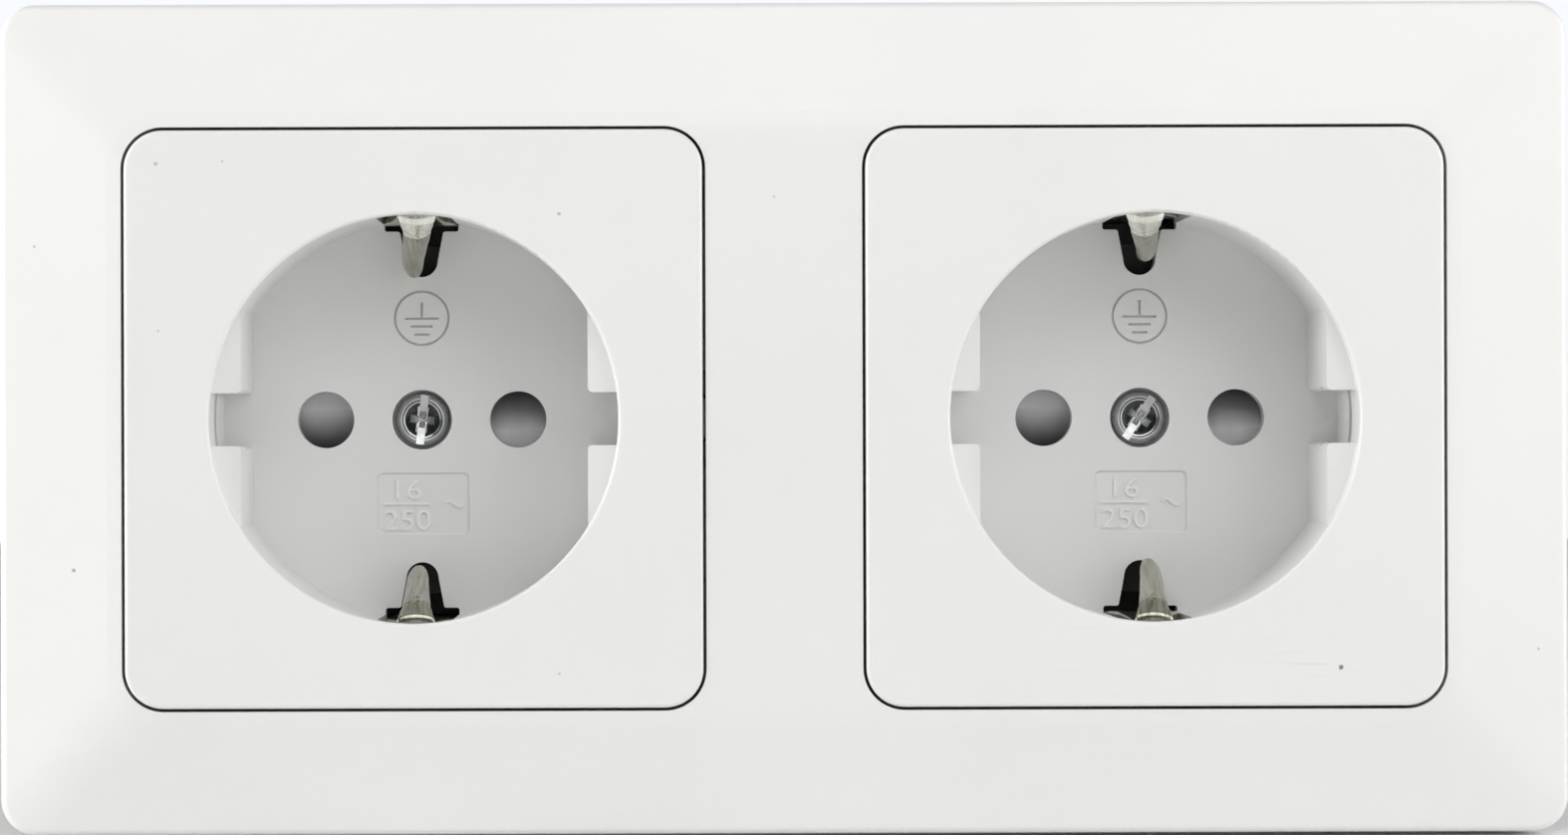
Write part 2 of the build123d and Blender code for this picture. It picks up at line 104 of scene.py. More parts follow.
def mottle(tree, place, sizeMm, low, high, detail=3.0, stretch=None):  # uneven patches between two values
    if stretch:
        place = addNode(tree, "ShaderNodeMapping", {"Scale": stretch}, {"Vector": place}).outputs["Vector"]
    size = {"Scale": perMetre(sizeMm), "Detail": detail}
    cloud = addNode(tree, "ShaderNodeTexNoise", size, {"Vector": place})
    spread = {"From Min": noiseSpan[0], "From Max": noiseSpan[1], "To Min": low, "To Max": high}
    return addNode(tree, "ShaderNodeMapRange", spread, {"Value": cloud.outputs["Fac"]}).outputs["Result"]


def dressShader(tree, shader, colour, roughness, grain, relief, ior):  # relief: strength, and depth in mm
    strength, depth = relief
    bump = addNode(tree, "ShaderNodeBump", {"Strength": strength, "Distance": depth * mm}, {"Height": grain})
    surface = {"Base Color": colour, "Roughness": roughness, "Normal": bump.outputs["Normal"]}
    for name, source in surface.items():
        tree.links.new(source, shader.inputs[name])
    if ior:  # a metal keeps the default
        shader.inputs["IOR"].default_value = ior


# White ABS, injection moulded in a polished tool: cool white, soft satin gloss, faint clouding
# from handling, a fine tool grain, a few specks of dirt and three rubbed places with hair scratches
whiteAbs = {
    "light": "#ececec", "shade": "#e9e9e9", "cloudMm": 30.0, "roughness": (0.29, 0.35), "smearMm": 40.0,
    "grainMm": 0.5, "relief": (0.25, 0.008), "ior": 1.53,  # grain drawn coarse so that it shows
    # scratches, drawn broad so that they show: slant in degrees, part of the noise that shows, most of it
    "scratch": "#d8d7d4", "scratchMm": 0.35, "scratchStretch": (0.04, 1, 1), "scratchSlant": 24.0,
    "scratchSpan": (0.66, 0.74), "scratchMost": 0.5,
    # x, y, z and radius in mm of each rubbed place
    "wearAndHighlight": ((27.6, -9.7, -21.2, 4.5), (50.6, -9.7, -23.4, 6.5), (-54.6, 7.8, -1.4, 1.6)),
    "dirt": "#4a4540", "raggedMm": 0.3, "ragged": (0.75, 1.25), "speckFade": 1.6,
    # x, y, z and radius in mm of each speck, then how dark
    "specks": (
        (-60.1, -9.7, 24.5, 0.13, 0.4), (-53.7, -9.7, 24.7, 0.09, 0.3), (-21.5, -9.7, 19.6, 0.11, 0.45),
        (-59.9, -9.7, 8.5, 0.1, 0.3), (-72.0, -7.4, 16.7, 0.11, 0.35), (-68.2, -8.4, -14.4, 0.15, 0.6),
        (-21.6, -9.7, -24.4, 0.1, 0.3), (-35.4, -9.7, -31.3, 0.11, 0.3), (-32.1, -8.5, -34.1, 0.1, 0.3),
        (-60.1, -8.9, -32.5, 0.1, 0.3), (-0.9, -9.5, 21.2, 0.1, 0.3), (53.2, -9.7, -24.0, 0.18, 0.8),
        (72.5, -7.3, -22.4, 0.12, 0.4), (39.4, 3.0, -17.9, 0.22, 0.7), (49.3, 3.0, -12.5, 0.2, 0.6),
    ),
}


def makeWhiteAbs():
    look = whiteAbs
    material, tree, shader, place = startMaterial("white_abs_moulded_satin")
    cloud = mottle(tree, place, look["cloudMm"], 0.0, 1.0)
    tones = {mixFirst: toLinear(look["light"]), mixSecond: toLinear(look["shade"])}
    colour = addNode(tree, "ShaderNodeMix", tones, {0: cloud}, data_type="RGBA").outputs[mixed]

    dirt = {mixSecond: toLinear(look["dirt"])}
    ragged = mottle(tree, place, look["raggedMm"], *look["ragged"])
    for x, y, z, radius, dark in look["specks"]:
        spot = Vector((x, y, z)) * mm
        away = addNode(tree, "ShaderNodeVectorMath", {1: spot}, {0: place}, operation="DISTANCE")
        links = {0: away.outputs["Value"], 1: ragged}
        uneven = addNode(tree, "ShaderNodeMath", {}, links, operation="MULTIPLY").outputs["Value"]
        faded = radius * look["speckFade"]
        fade = {"From Min": radius * mm, "From Max": faded * mm, "To Min": dark, "To Max": 0.0}
        speck = addNode(tree, "ShaderNodeMapRange", fade, {"Value": uneven}).outputs["Result"]
        links = {0: speck, mixFirst: colour}
        colour = addNode(tree, "ShaderNodeMix", dirt, links, data_type="RGBA").outputs[mixed]

    scratch = {mixSecond: toLinear(look["scratch"])}
    slant = {"Rotation": (0, math.radians(look["scratchSlant"]), 0), "Scale": look["scratchStretch"]}
    slanted = addNode(tree, "ShaderNodeMapping", slant, {"Vector": place}).outputs["Vector"]
    size = {"Scale": perMetre(look["scratchMm"]), "Detail": 1.0}
    hairs = addNode(tree, "ShaderNodeTexNoise", size, {"Vector": slanted}).outputs["Fac"]
    first, last = look["scratchSpan"]
    thin = {"From Min": first, "From Max": last, "To Min": 0.0, "To Max": look["scratchMost"]}
    hairs = addNode(tree, "ShaderNodeMapRange", thin, {"Value": hairs}).outputs["Result"]
    for x, y, z, radius in look["wearAndHighlight"]:
        spot = Vector((x, y, z)) * mm
        away = addNode(tree, "ShaderNodeVectorMath", {1: spot}, {0: place}, operation="DISTANCE")
        fade = {"From Min": 0.0, "From Max": radius * mm, "To Min": 1.0, "To Max": 0.0}
        near = addNode(tree, "ShaderNodeMapRange", fade, {"Value": away.outputs["Value"]}).outputs["Result"]
        worn = addNode(tree, "ShaderNodeMath", {}, {0: near, 1: hairs}, operation="MULTIPLY").outputs["Value"]
        links = {0: worn, mixFirst: colour}
        colour = addNode(tree, "ShaderNodeMix", scratch, links, data_type="RGBA").outputs[mixed]

    roughness = mottle(tree, place, look["smearMm"], *look["roughness"], detail=1.0)
    grain = mottle(tree, place, look["grainMm"], 0.0, 1.0, detail=2.0)
    dressShader(tree, shader, colour, roughness, grain, look["relief"], look["ior"])
    return material


# Glass-filled nylon, moulded: dull grey, streaky along the flow, pale at the top of each ramp and
# darker with painted shade towards its deep end (depths along Y in mm)
greyNylon = {
    "pale": "#dadadc", "streak": "#cdcdd1", "streakMm": 3.0, "streakStretch": (1, 1, 0.3),
    # painted shade: the dark tone of each ramp's deep end, the depth where the painted shade starts and the
    # depth where it is full
    "paintedDeepShade": "#5c5c60", "paintedLightEdge": 10.6, "paintedShadeFullAt": 12.9, "roughness": (0.42, 0.55),
    "grainMm": 0.4, "relief": (0.35, 0.012), "ior": 1.53,  # grain drawn coarse so that it shows
}


def makeGreyNylon():
    look = greyNylon
    material, tree, shader, place = startMaterial("grey_nylon_moulded")
    streaks = mottle(tree, place, look["streakMm"], 0.0, 1.0, detail=4.0, stretch=look["streakStretch"])
    tones = {mixFirst: toLinear(look["pale"]), mixSecond: toLinear(look["streak"])}
    colour = addNode(tree, "ShaderNodeMix", tones, {0: streaks}, data_type="RGBA").outputs[mixed]
    # painted shade: darker with depth along Y
    depth = addNode(tree, "ShaderNodeSeparateXYZ", links={"Vector": place}).outputs["Y"]
    reach = {"From Min": look["paintedLightEdge"] * mm, "From Max": look["paintedShadeFullAt"] * mm}
    paintedShadeAmount = addNode(tree, "ShaderNodeMapRange", reach, {"Value": depth}).outputs["Result"]
    links = {0: paintedShadeAmount, mixFirst: colour}
    paintedDeepShade = {mixSecond: toLinear(look["paintedDeepShade"])}
    colour = addNode(tree, "ShaderNodeMix", paintedDeepShade, links, data_type="RGBA").outputs[mixed]
    roughness = mottle(tree, place, look["streakMm"] / 2, *look["roughness"])
    grain = mottle(tree, place, look["grainMm"], 0.0, 1.0, detail=2.0)
    dressShader(tree, shader, colour, roughness, grain, look["relief"], look["ior"])
    return material


# Plain plastics and metals, with copies of some that carry painted shade, painted light, a painted highlight
# and a painted dark reflection: two tones, patch size in mm, roughness range, metallic, grain size and depth
# in mm (drawn coarse so that it shows), IOR, stretch of the pattern
finishes = {
    # phenolic moulding compound: near black, matt, tiny filler mottling
    "dark_phenolic_moulded": ("#242424", "#1b1b1c", 1.2, (0.45, 0.6), 0.0, 0.6, 0.02, 1.6, None),
    # zinc-plated sheet steel: pale grey, soft spangle and dull sheen
    "zinc_plated_sheet_steel": ("#b9bbbc", "#a3a6a8", 4.0, (0.32, 0.46), 1.0, 0.5, 0.006, None, None),
    # zinc-plated screw steel: brighter, tumbled smooth
    "zinc_plated_screw_steel": ("#c9cacb", "#b4b5b7", 1.5, (0.16, 0.28), 1.0, 0.4, 0.004, None, None),
    # hard-drawn spring steel: darker, drawn along the wire
    "hard_drawn_spring_steel": ("#8e8f92", "#7b7c80", 1.0, (0.25, 0.38), 1.0, 0.3, 0.004, None, None),
    # cold-formed drive recess of a zinc-plated screw: a darker copy that paints a dark reflection on its flat
    # sectors
    "zinc_plated_recess_painted_dark_reflection": ("#505153", "#38393b", 0.6, (0.18, 0.3), 1.0, 0.3, 0.006, None, None),
    # nickel-plated brass strip: warm grey, bright, streaked along the strip by the rolls
    "nickel_plated_brass_strip": (
        "#c4c1b3", "#969386", 0.3, (0.12, 0.26), 1.0, 0.4, 0.012, None, (1, 0.06, 0.1)),
    # the same plating with a painted highlight: a nearly white copy over the fold
    "nickel_plated_painted_highlight": (
        "#fbfaf5", "#e6e3d8", 0.5, (0.2, 0.32), 1.0, 0.4, 0.006, None, (1, 0.06, 0.1)),
    # white ABS where the floor is engraved: a darker copy with painted shade in the strokes
    "white_abs_painted_shade_strokes": ("#e0e0e0", "#d8d8d7", 1.0, (0.42, 0.55), 0.0, 0.4, 0.008, 1.53, None),
    # white ABS figures: a lighter copy with painted light on the raised figures
    "white_abs_painted_light_figures": ("#f8f8f8", "#f4f4f4", 4.0, (0.22, 0.3), 0.0, 0.5, 0.004, 1.53, None),
    # bright rolled brass: yellow, a little tarnished in patches
    "rolled_brass_bright": ("#c9a45a", "#b08a45", 3.0, (0.2, 0.36), 1.0, 0.4, 0.005, None, None),
}
grainStrength = 0.35


def makeFinish(name):
    light, shade, patchMm, rough, metallic, grainMm, grainDepth, ior, stretch = finishes[name]
    material, tree, shader, place = startMaterial(name)
    patches = mottle(tree, place, patchMm, 0.0, 1.0, detail=4.0, stretch=stretch)
    tones = {mixFirst: toLinear(light), mixSecond: toLinear(shade)}
    colour = addNode(tree, "ShaderNodeMix", tones, {0: patches}, data_type="RGBA").outputs[mixed]
    shader.inputs["Metallic"].default_value = metallic
    roughness = mottle(tree, place, patchMm / 2, *rough)
    grain = mottle(tree, place, grainMm, 0.0, 1.0, detail=2.0, stretch=stretch)
    dressShader(tree, shader, colour, roughness, grain, (grainStrength, grainDepth), ior)
    return material


slotFinish = {
    "black_plastic": "dark_phenolic_moulded",
    "zinc_steel": "zinc_plated_sheet_steel", "screw_steel": "zinc_plated_screw_steel",
    "spring_steel": "hard_drawn_spring_steel", "nickel_brass": "nickel_plated_brass_strip",
    "brass": "rolled_brass_bright",
}
materials = {slot: makeFinish(name) for slot, name in slotFinish.items()}
materials["white_plastic"] = makeWhiteAbs()
materials["grey_plastic"] = makeGreyNylon()


def setMaterial(obj, material):
    obj.data.materials.clear()
    obj.data.materials.append(material)


for row in frame["record"]["subparts"]:
    setMaterial(nodes[row["node"]], materials[row["material_slot"]])
print("materials on", len(nodes), "nodes")


def finishMesh(bm, name):  # a mesh with its faces turned outward
    bmesh.ops.recalc_face_normals(bm, faces=bm.faces)
    mesh = bpy.data.meshes.new(name)
    bm.to_mesh(mesh)
    bm.free()
    return mesh


def loftMesh(loops, name, ring=False, apex=None):  # solid through loops of points in mm; a ring has no ends
    bm = bmesh.new()
    rows = [[bm.verts.new(point * mm) for point in loop] for loop in loops]
    count = len(rows[0])
    for first, second in zip(rows, rows[1:] + rows[:1] if ring else rows[1:]):
        for i in range(count):
            k = (i + 1) % count
            bm.faces.new((first[i], first[k], second[k], second[i]))
    if not ring:
        bm.faces.new(rows[0])
        if apex:
            tip = bm.verts.new(apex * mm)
            for i in range(count):
                bm.faces.new((rows[-1][i], rows[-1][(i + 1) % count], tip))
        else:
            bm.faces.new(rows[-1])
    return finishMesh(bm, name)


def combine(mesh, tool, operation):  # boolean of two closed meshes
    work = bpy.data.objects.new("work", mesh)
    other = bpy.data.objects.new("tool", tool)
    scene.collection.objects.link(work)
    scene.collection.objects.link(other)
    step = work.modifiers.new("step", "BOOLEAN")
    step.object, step.operation, step.solver = other, operation, "EXACT"
    graph = bpy.context.evaluated_depsgraph_get()
    result = bpy.data.meshes.new_from_object(work.evaluated_get(graph))
    bpy.data.objects.remove(work)
    bpy.data.objects.remove(other)
    return result


sharpFrom = math.radians(32)  # edges that bend more than this stay sharp


def addPiece(name, mesh, body, slot, *replaced, more=()):  # more: further finishes that some faces have
    mesh.shade_smooth()
    mesh.set_sharp_from_angle(angle=sharpFrom)
    for material in (materials[slot], *more):
        mesh.materials.append(material)
    piece = bpy.data.objects.new(name, mesh)
    scene.collection.objects.link(piece)
    piece.modifiers.new("even_shading", "WEIGHTED_NORMAL").keep_sharp = True
    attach(piece, body)
    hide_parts(*replaced)


def strokePrism(points, width, front, back, closed=False):  # ribbon along x, z points, front to back in Y
    count = len(points)
    loops = []
    for i, point in enumerate(points):
        before = points[i - 1] if closed or i else point
        after = points[(i + 1) % count] if closed or i < count - 1 else point
        along = (Vector(after) - Vector(before)).normalized()
        side = Vector((-along.y, along.x)) * width / 2
        section = ((side, front), (side, back), (-side, back), (-side, front))
        loops.append([Vector((point[0] + offset.x, level, point[1] + offset.y)) for offset, level in section])
    return loftMesh(loops, "stroke", ring=closed)


cornerSteps = 4


def roundedPrism(centre, width, height, corner, front, back, flare):  # rounded rectangle, wider at the front
    loops = []
    for level, radius in ((front, corner + flare), (back, corner)):
        rim = []
        for quarter in range(4):
            across = 1 if quarter in (0, 3) else -1
            up = 1 if quarter in (0, 1) else -1
            for step in range(cornerSteps + 1):
                angle = math.radians(90 * (quarter + step / cornerSteps))
                x = centre[0] + across * (width / 2 - corner) + radius * math.cos(angle)
                z = centre[1] + up * (height / 2 - corner) + radius * math.sin(angle)
                rim.append(Vector((x, level, z)))
        loops.append(rim)
    return loftMesh(loops, "panel")


def digitPrism(text, centre, width, height, front, back):  # plain figures fitted to a width and height
    curve = bpy.data.curves.new("figures", "FONT")
    curve.body = text
    curve.extrude = (back - front) / 2 * mm
    holder = bpy.data.objects.new("figures", curve)
    mesh = bpy.data.meshes.new_from_object(holder)
    bpy.data.objects.remove(holder)
    bm = bmesh.new()
    bm.from_mesh(mesh)
    bmesh.ops.remove_doubles(bm, verts=bm.verts, dist=weld)
    xs = [v.co.x for v in bm.verts]
    ys = [v.co.y for v in bm.verts]
    stretch = (width * mm / (max(xs) - min(xs)), height * mm / (max(ys) - min(ys)))
    for v in bm.verts:
        x = (v.co.x - (max(xs) + min(xs)) / 2) * stretch[0] + centre[0] * mm
        z = (v.co.y - (max(ys) + min(ys)) / 2) * stretch[1] + centre[1] * mm
        v.co = (x, (front + back) / 2 * mm - v.co.z, z)
    return finishMesh(bm, "figures")


# Marks on the floor of each recess, in mm from the socket's centre: an engraved earth sign and a
# sunk panel with raised figures for current over voltage and the sign for alternating current
marks = {
    "floor": 7.8, "stroke": 0.24, "engraved": 0.28, "cutAbove": 0.5,
    "signUp": 10.05, "signDiameter": 5.3, "signSteps": 48, "stem": (1.55, -0.05),
    "bars": ((-0.05, 3.3), (-0.82, 2.2), (-1.62, 1.5)),  # height and length
    "panel": (0.1, -8.3), "panelSize": (8.75, 5.75), "panelCorner": 0.4, "panelDepth": 0.26, "panelRim": 0.22,
    "raised": 0.22, "rooted": 0.3,
    "figures": (("16", (-1.44, 1.42), 2.5, 1.9), ("250", (-1.57, -1.6), 4.6, 2.0)),
    "rule": ((-4.1, 0.0), (0.6, 0.0)), "ruleWidth": 0.22,
    "wave": (3.0, 0.0, 1.9, 0.3), "waveWidth": 0.22, "waveSteps": 16,
    "slack": 0.01, "insidePanel": 0.05,  # room when faces are told apart by their place
}
strokeShadeFinish, figureLightFinish = makeFinish("white_abs_painted_shade_strokes"), makeFinish("white_abs_painted_light_figures")


def makeCover(side):
    look = marks
    node = "cover_" + side
    centre = gangs[side]
    bm = bmesh.new()
    bm.from_mesh(nodes[node].data)
    bmesh.ops.remove_doubles(bm, verts=bm.verts, dist=weld)
    mesh = finishMesh(bm, node + "_marked")
    if "custom_normal" in mesh.attributes:
        mesh.attributes.remove(mesh.attributes["custom_normal"])

    floorLevel, signUp = look["floor"], look["signUp"]
    above = floorLevel - look["cutAbove"]
    engraved = floorLevel + look["engraved"]
    panelX, panelZ = centre + look["panel"][0], look["panel"][1]
    panelWidth, panelHeight = look["panelSize"]
    panelFloor = floorLevel + look["panelDepth"]
    flare = look["panelRim"] * (panelFloor - above) / look["panelDepth"]
    panel = ((panelX, panelZ), panelWidth, panelHeight, look["panelCorner"])
    mesh = combine(mesh, roundedPrism(*panel, above, panelFloor, flare), "DIFFERENCE")
    radius = look["signDiameter"] / 2
    turns = [math.tau * i / look["signSteps"] for i in range(look["signSteps"])]
    circle = [(centre + radius * math.cos(a), signUp + radius * math.sin(a)) for a in turns]
    mesh = combine(mesh, strokePrism(circle, look["stroke"], above, engraved, True), "DIFFERENCE")
    strokes = [[(centre, signUp + z) for z in look["stem"]]]
    for drop, width in look["bars"]:
        strokes.append([(centre + end * width / 2, signUp + drop) for end in (-1, 1)])
    for line in strokes:
        mesh = combine(mesh, strokePrism(line, look["stroke"], above, engraved), "DIFFERENCE")

    top = panelFloor - look["raised"]
    root = panelFloor + look["rooted"]
    rule = [(panelX + x, panelZ + z) for x, z in look["rule"]]
    waveX, waveZ, waveLength, waveHeight = look["wave"]
    wave = []
    for i in range(look["waveSteps"] + 1):
        part = i / look["waveSteps"]
        rise = waveHeight * math.sin(math.tau * part)
        wave.append((panelX + waveX + waveLength * (part - 0.5), panelZ + waveZ + rise))
    mesh = combine(mesh, strokePrism(rule, look["ruleWidth"], top, root), "UNION")
    mesh = combine(mesh, strokePrism(wave, look["waveWidth"], top, root), "UNION")
    for text, (x, z), width, height in look["figures"]:
        figures = digitPrism(text, (panelX + x, panelZ + z), width, height, top, root)
        mesh = combine(mesh, figures, "UNION")

    slack = look["slack"]
    for face in mesh.polygons:  # painted shade in the engraved strokes, painted light on the raised figures
        spot = face.center / mm
        inSign = math.hypot(spot.x - centre, spot.z - signUp) < radius + look["stroke"]
        past = max(abs(spot.x - panelX) - panelWidth / 2, abs(spot.z - panelZ) - panelHeight / 2)
        if inSign and floorLevel + slack < spot.y < engraved + slack:
            face.material_index = 1
        # painted light: the raised figures take a lighter copy of the white ABS
        elif past < -look["insidePanel"] and top - slack < spot.y < panelFloor - slack:
            face.material_index = 2
    addPiece(node + "_marked", mesh, "housing", "white_plastic", node, more=(strokeShadeFinish, figureLightFinish))
    print(node, "marked,", len(mesh.polygons), "faces")


for side in gangs:
    makeCover(side)


def turnedMesh(rings, thread=None):  # rings of radius and depth in mm, on the Y axis from 0 inward
    loops = []
    for radius, depth in rings:
        loop = []
        for i in range(roundSteps):
            part = i / roundSteps
            cut = 0.0
            if thread and thread["from"] <= depth <= thread["to"]:
                cut = thread["depth"] * (1 - abs(2 * ((depth / thread["pitch"] - part) % 1) - 1))
            reach, angle = radius - cut, math.tau * part
            loop.append(Vector((reach * math.cos(angle), depth, reach * math.sin(angle))))
        loops.append(loop)
    return loftMesh(loops, "turned")


ringsPerTurn = 6  # fine enough to carry a thread
overHead = 0.3  # how far a cutter starts in front of a head, in mm


def shankRings(radius, start, end, pitch):
    count = math.ceil((end - start) / pitch * ringsPerTurn)
    return [(radius, start + (end - start) * i / count) for i in range(count + 1)]


def crossCutter(width, reach, depth, footWidth, footReach, tip):  # tapering four-armed recess, coned foot
    loops = []
    for half, arm, level in ((width / 2, reach, -overHead), (footWidth / 2, footReach, depth)):
        corners = []
        for quarter in (0, 3, 2, 1):  # this way round, so every arm joins the next in order
            turn = Matrix.Rotation(math.radians(90 * quarter), 3, "Y")
            for x, z in ((arm, -half), (arm, half), (half, half)):
                corners.append(turn @ Vector((x, 0, z)) + Vector((0, level, 0)))
        loops.append(corners)
    return loftMesh(loops, "cross", apex=Vector((0, depth + tip, 0)))


def slotCutter(width, length, depth, endDepth):  # the slot's floor may rise towards its ends
    end = length / 2
    section = ((-overHead, -end), (endDepth, -end), (depth, 0), (endDepth, end), (-overHead, end))
    return loftMesh([[Vector((x, y, z)) for y, z in section] for x in (-width / 2, width / 2)], "slot")


def burrCutter(width, length, level, size, slope):  # shallow vee that breaks the slot's edges at a level
    wide, narrow = width / 2 + size, width / 2 - size / 3
    deep = level + (wide - narrow) * math.tan(math.radians(slope))
    section = ((-wide, level), (-narrow, deep), (narrow, deep), (wide, level))
    return loftMesh([[Vector((x, y, z)) for x, y in section] for z in (-length / 2, length / 2)], "burr")


# Cover screws: pan head with a raised rim, one long slot over a cross recess, each turned as it was left
coverScrew = {
    "head": (  # radius and depth of each ring
        (0.1, 0.3), (1.0, 0.3), (1.72, 0.28), (1.86, 0.22), (1.94, 0.1), (2.0, 0.02), (2.07, 0.0),
        (2.14, 0.03), (2.28, 0.11), (2.42, 0.23), (2.54, 0.4), (2.63, 0.64), (2.68, 0.95), (2.7, 1.35),
        (2.7, 1.7),
    ),
    "shankRadius": 1.5, "pitch": 0.5, "threadDepth": 0.28, "plain": 0.3, "tipRadius": 1.1, "tipLength": 0.4,
    "slot": (0.8, 5.1, 0.95, 0.27), "burr": (0.8, 3.5, 0.29, 0.16, 30.0),
    "cross": (0.95, 1.75, 0.85, 0.6, 0.7, 0.27),
    # where the painted dark reflection goes: radius and depth in mm, and how squarely a face must look to the
    # front
    "turn": {"left": 6.0, "right": 34.0}, "paintedReflectionRadius": 1.85, "paintedReflectionDepth": 0.34, "paintedReflectionFacing": 0.95,
}
# Claw screws: low cheese head with a plain slot, threaded along the shank
clawScrew = {
    "head": ((2.2, 0.0), (2.45, 0.08), (2.57, 0.2), (2.6, 0.38), (2.6, 1.82), (2.5, 1.9)),
    "shankRadius": 1.5, "pitch": 0.5, "threadDepth": 0.28, "plain": 0.3, "tipRadius": 1.1, "tipLength": 0.4,
    "slot": (0.9, 7.0, 1.0, 1.0),
}
# Terminal screws: cheese head with a plain slot, facing backward; two beside each socket's centre, one below
terminalScrew = {
    "head": ((2.7, 0.0), (2.95, 0.1), (3.07, 0.24), (3.1, 0.42), (3.1, 2.12), (3.0, 2.2)),
    "shankRadius": 1.75, "pitch": 0.6, "threadDepth": 0.32, "plain": 1.5, "tipRadius": 1.3, "tipLength": 0.5,
    "slot": (0.9, 8.0, 1.0, 1.0), "offset": 16.5, "drop": -11.0,
}


def screwMesh(look, length):
    under = look["head"][-1][1]
    start, end = under + look["plain"], length - look["tipLength"]
    rings = list(look["head"]) + [(look["shankRadius"], under)]
    rings += shankRings(look["shankRadius"], start, end, look["pitch"])
    rings.append((look["tipRadius"], length))
    thread = {"from": start, "to": end, "pitch": look["pitch"], "depth": look["threadDepth"]}
    mesh = combine(turnedMesh(rings, thread), slotCutter(*look["slot"]), "DIFFERENCE")
    if "cross" in look:
        mesh = combine(mesh, crossCutter(*look["cross"]), "DIFFERENCE")
        mesh = combine(mesh, burrCutter(*look["burr"]), "DIFFERENCE")
        for face in mesh.polygons:  # the flat sectors inside the rim that face the front take a painted dark reflection
            spot = face.center / mm
            inside = spot.y < look["paintedReflectionDepth"] and math.hypot(spot.x, spot.z) < look["paintedReflectionRadius"]
            face.material_index = 1 if inside and face.normal.y < -look["paintedReflectionFacing"] else 0
    return mesh


def gather(mesh, places):  # one mesh from placed copies
    bm = bmesh.new()
    for place in places:
        copy = mesh.copy()
        copy.transform(place)
        bm.from_mesh(copy)
    return finishMesh(bm, "gathered")


low, high = (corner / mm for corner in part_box("cover_screws"))
places = []
for side, x in gangs.items():
    turn = Matrix.Rotation(math.radians(coverScrew["turn"][side]), 4, "Y")
    places.append(Matrix.Translation(Vector((x, low.y, 0)) * mm) @ turn)
screws = gather(screwMesh(coverScrew, high.y - low.y), places)
paintedDarkReflection = makeFinish("zinc_plated_recess_painted_dark_reflection")
addPiece("cover_screws_driven", screws, "housing", "screw_steel", "cover_screws", more=[paintedDarkReflection])

low, high = (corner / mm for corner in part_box("terminal_screws"))
backward = Matrix.Rotation(math.pi, 4, "Z")
spots = [(-terminalScrew["offset"], 0), (terminalScrew["offset"], 0), (0, terminalScrew["drop"])]
places = []
for x in gangs.values():
    places += [Matrix.Translation(Vector((x + dx, high.y, z)) * mm) @ backward for dx, z in spots]
screws = gather(screwMesh(terminalScrew, high.y - low.y), places)
addPiece("terminal_screws_threaded", screws, "housing", "screw_steel", "terminal_screws")

for side in gangs:
    for end in ("a", "b"):
        node = f"claw_screw_{side}_{end}"
        low, high = (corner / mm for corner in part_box(node))
        place = Matrix.Translation(Vector(((low.x + high.x) / 2, low.y, 0)) * mm)
        screws = gather(screwMesh(clawScrew, high.y - low.y), [place])
        addPiece(node + "_threaded", screws, node, "screw_steel", node)
print("screws turned")

for side, x in gangs.items():
    node = "shutter_spring_" + side
    wound = bpy.data.objects.new(node + "_wound", nodes[node].data.copy())
    scene.collection.objects.link(wound)
    setMaterial(wound, materials["spring_steel"])
    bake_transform(wound)
    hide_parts(node)
print("springs wound")

# Earth bracket: one strip, in mm. Path corners run from the web's middle round one leg to the tongue's end,
# each with its bend radius; the widths and the gutter follow the distance from the crest of the fold
earthStrip = {
    "thickness": 0.7, "edge": 0.14, "step": 0.14, "faceSteps": 16,
    "webLevel": 27.45, "legOut": 19.95, "bend": 1.05, "crest": -7.75, "turned": 19.0, "fold": 0.4,
    "kneeLevel": -6.35, "kneeOut": 17.75, "tipLevel": 5.2, "knee": 1.1, "endLevel": 8.9, "endOut": 1.1,
    "reach": {"left": (13.9, 14.3), "right": (15.3, 13.8)},  # top and bottom tongue
    # how far each tongue was bent sideways, at the crest and at the tip, and where along the strip
    "lean": {"left": ((0.3, -0.6), (0.1, -0.2)), "right": ((-0.75, 0.3), (0.0, 0.55))},
    "leanFrom": -9.0, "leanTo": 13.0,
    # distance from the crest, half width, gutter depth
    "form": (
        (-60.0, 3.5, 0.0), (-12.0, 3.5, 0.0), (-9.6, 3.05, 0.0), (-7.4, 2.4, 0.0), (-5.0, 2.05, 0.0),
        (-1.2, 1.95, 0.04), (0.0, 1.85, 0.1), (1.0, 1.6, 0.3), (2.2, 1.36, 0.46), (7.0, 1.2, 0.46),
        (11.5, 1.05, 0.44), (12.7, 0.96, 0.4), (13.5, 0.82, 0.34), (14.3, 0.6, 0.24), (20.0, 0.5, 0.12),
    ),
    # some legs were left bowed inward: depth along Y and how far, and which ends
    "bow": ((-6.5, 0.0), (4.0, 0.55), (8.5, 0.5), (15.0, 0.0)), "bowed": {"left": (1, 0), "right": (0, 1)},
    # distance from the crest, size and height of the pip and of the crease, which waves and wrinkles
    "pip": (3.6, 0.34, 0.12), "crease": (2.35, 0.16, 0.07), "wave": (0.12, 5.0), "wrinkle": (0.05, 3.1, 0.7),
    # the screw hole's drop and radius, how far the drill reaches, and the depth in front of which the upper
    # folds take the painted highlight
    "screwHole": (-11.0, 1.85), "drillReach": 2.0, "paintedLightEdge": -6.2,
}
paintedHighlightFinish = makeFinish("nickel_plated_painted_highlight")


